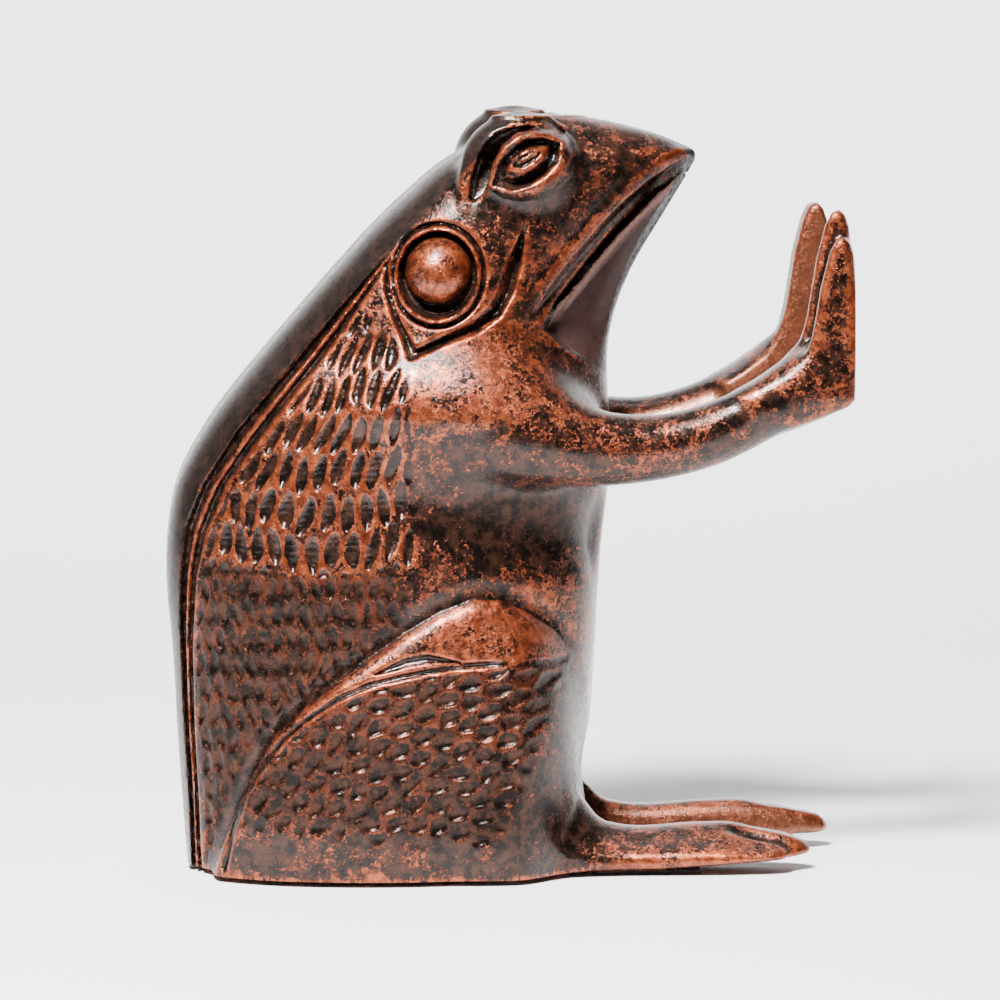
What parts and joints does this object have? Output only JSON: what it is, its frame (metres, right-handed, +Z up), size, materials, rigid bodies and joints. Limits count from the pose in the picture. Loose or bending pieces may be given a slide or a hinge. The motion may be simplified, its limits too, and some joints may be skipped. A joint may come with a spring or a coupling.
{
  "type": "frog bookend",
  "caption": "Seated cast-iron frog bookend in two pinned and screwed hollow halves, its raised palms flat to stop a row of books, on felt pads.",
  "frame": {"origin": "under the middle of the figure's bounding box, on the surface that the felt pads stand on", "axes": "+Z up, +X the way the frog faces, -Y its right side"},
  "size_m": [0.1364, 0.0656, 0.152],
  "materials": {
    "right_iron": "mottled copper-red over black-brown patina, waxed gloss, filed bare grey along the joint",
    "left_iron": "mottled copper-red over black-brown patina, waxed gloss, filed bare grey along the joint",
    "screw_steel": "blackened steel, turned head",
    "pin_steel": "ground steel",
    "felt": "black pressed wool felt"
  },
  "bodies": {
    "root": {"right_half_casting": "right_iron", "left_half_casting": "left_iron", "upper_tie_screw": "screw_steel", "lower_tie_screw": "screw_steel", "upper_locating_pin": "pin_steel", "lower_locating_pin": "pin_steel", "body_felt_pad": "felt", "right_foot_felt_pad": "felt", "left_foot_felt_pad": "felt"}
  },
  "joints": []
}
